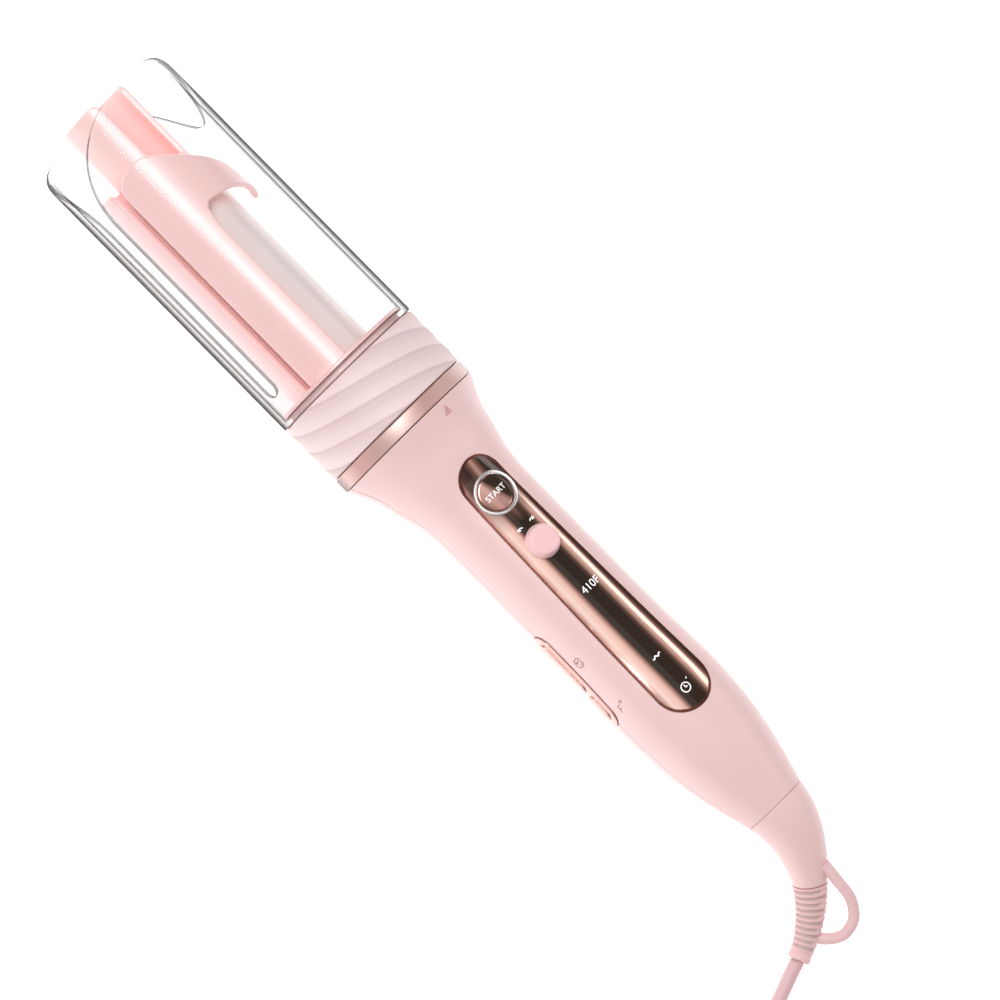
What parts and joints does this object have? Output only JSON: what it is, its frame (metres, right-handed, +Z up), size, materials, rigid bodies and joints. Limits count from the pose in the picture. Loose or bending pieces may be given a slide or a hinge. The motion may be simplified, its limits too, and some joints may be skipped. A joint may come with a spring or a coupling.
{
  "type": "automatic hair curler",
  "caption": "Automatic hair curler: motor-driven rotor round a heated barrel in a clear guard, on a handle with a panel, swivel tail, mains cord and plug.",
  "frame": {"origin": "middle of the curler's length, under its axis, on the surface that it lies on", "axes": "+X along the axis towards the barrel's tip, +Z up out of the control panel, +Y the curler's left side"},
  "size_m": [0.488, 0.0904, 0.0549],
  "materials": {
    "clear": "clear glossy polycarbonate with dark refracted edges",
    "pink_gloss": "pale pink gloss plastic",
    "pink_satin": "pale pink satin plastic",
    "soft_touch": "grey-pink soft-touch coat",
    "relief_rubber": "pink flexible vinyl",
    "cord_rubber": "dusty pink matt vinyl",
    "strap": "woven hook-and-loop strap",
    "barrel_coat": "silvery pink ceramic coat on metal",
    "rose_chrome": "polished rose chrome",
    "rose_mirror": "rose-gold mirror-coated panel",
    "silver": "silver-white ring",
    "steel": "plain steel",
    "brass": "plain brass",
    "acetal": "natural acetal",
    "insulator": "dark heat-resistant plastic",
    "board": "green solder mask",
    "ceramic": "ceramic heater block",
    "lead": "silicone lead"
  },
  "bodies": {
    "root": {"tail_cap": "pink_satin", "strain_relief": "relief_rubber", "swivel_core": "acetal", "swivel_clip": "steel", "cord_lead": "cord_rubber", "cord_hank": "cord_rubber", "cord_tie": "strap", "cord_end": "cord_rubber", "plug_body": "cord_rubber", "plug_blade_left": "brass", "plug_blade_right": "brass"},
    "handle": {"handle_upper": "pink_satin", "handle_lower": "pink_satin", "head_frame": "insulator", "guard_bayonet": "acetal", "wave_collar": "soft_touch", "trim_ring": "rose_chrome", "barrel": "barrel_coat", "barrel_tip": "pink_gloss", "heater_core": "ceramic", "heater_clip": "steel", "barrel_mount": "insulator", "rotor_bush": "brass", "rotor_retainer": "steel", "gearbox": "steel", "motor": "steel", "motor_bracket": "steel", "bracket_screw_1": "steel", "bracket_screw_2": "steel", "bracket_screw_3": "steel", "bracket_screw_4": "steel", "handle_screw_1": "steel", "handle_screw_2": "steel", "handle_screw_3": "steel", "panel_fascia": "rose_mirror", "start_ring": "silver", "knob_pivot": "steel", "display_module": "insulator", "main_board": "board", "start_switch": "insulator", "left_switch": "insulator", "right_switch": "insulator", "side_bezel": "rose_chrome", "side_board": "board", "mode_switch": "insulator", "unit_switch": "insulator", "contact_carrier": "brass", "heater_lead_left": "lead", "heater_lead_right": "lead", "supply_lead_left": "lead", "supply_lead_right": "lead"},
    "guard": {"clear_guard": "clear"},
    "rotor": {"rotor_cage": "pink_gloss", "rotor_ring_gear": "acetal"},
    "drive_pinion": {"pinion": "brass", "output_shaft": "steel"},
    "start_button": {"start_button": "rose_mirror"},
    "direction_knob": {"direction_knob": "pink_satin"},
    "mode_button": {"mode_button": "rose_chrome"},
    "unit_button": {"unit_button": "rose_chrome"}
  },
  "joints": [
    {"name": "cord_swivel", "type": "hinge", "parent": "root", "child": "handle", "pos_m": [-0.13865, 0, 0.02747], "axis": [1, 0, 0], "continuous": true},
    {"name": "rotor_spin", "type": "hinge", "parent": "handle", "child": "rotor", "pos_m": [0.04465, 0, 0.02747], "axis": [1, 0, 0], "continuous": true},
    {"name": "pinion_spin", "type": "hinge", "parent": "handle", "child": "drive_pinion", "pos_m": [0.03665, 0, 0.01547], "axis": [1, 0, 0], "continuous": true},
    {"name": "guard_twist", "type": "hinge", "parent": "handle", "child": "guard", "pos_m": [0.04565, 0, 0.02747], "axis": [1, 0, 0], "range_deg": [0, 20]},
    {"name": "start_press", "type": "slide", "parent": "handle", "child": "start_button", "axis": [0, 0, -1], "range_m": [0, 0.0008], "stiffness_N_per_m": 800, "springref_m": -0.0002},
    {"name": "direction_rock", "type": "hinge", "parent": "handle", "child": "direction_knob", "pos_m": [-0.02805, 0, 0.04251], "axis": [1, 0, 0], "range_deg": [-8, 8], "stiffness_Nm_per_rad": 0.06},
    {"name": "mode_press", "type": "slide", "parent": "handle", "child": "mode_button", "axis": [0, -1, 0], "range_m": [0, 0.0006], "stiffness_N_per_m": 800, "springref_m": -0.0002},
    {"name": "unit_press", "type": "slide", "parent": "handle", "child": "unit_button", "axis": [0, -1, 0], "range_m": [0, 0.0006], "stiffness_N_per_m": 800, "springref_m": -0.0002}
  ],
  "couplings": [
    {"joint": "pinion_spin", "follows": "rotor_spin", "ratio": 3.8571}
  ]
}
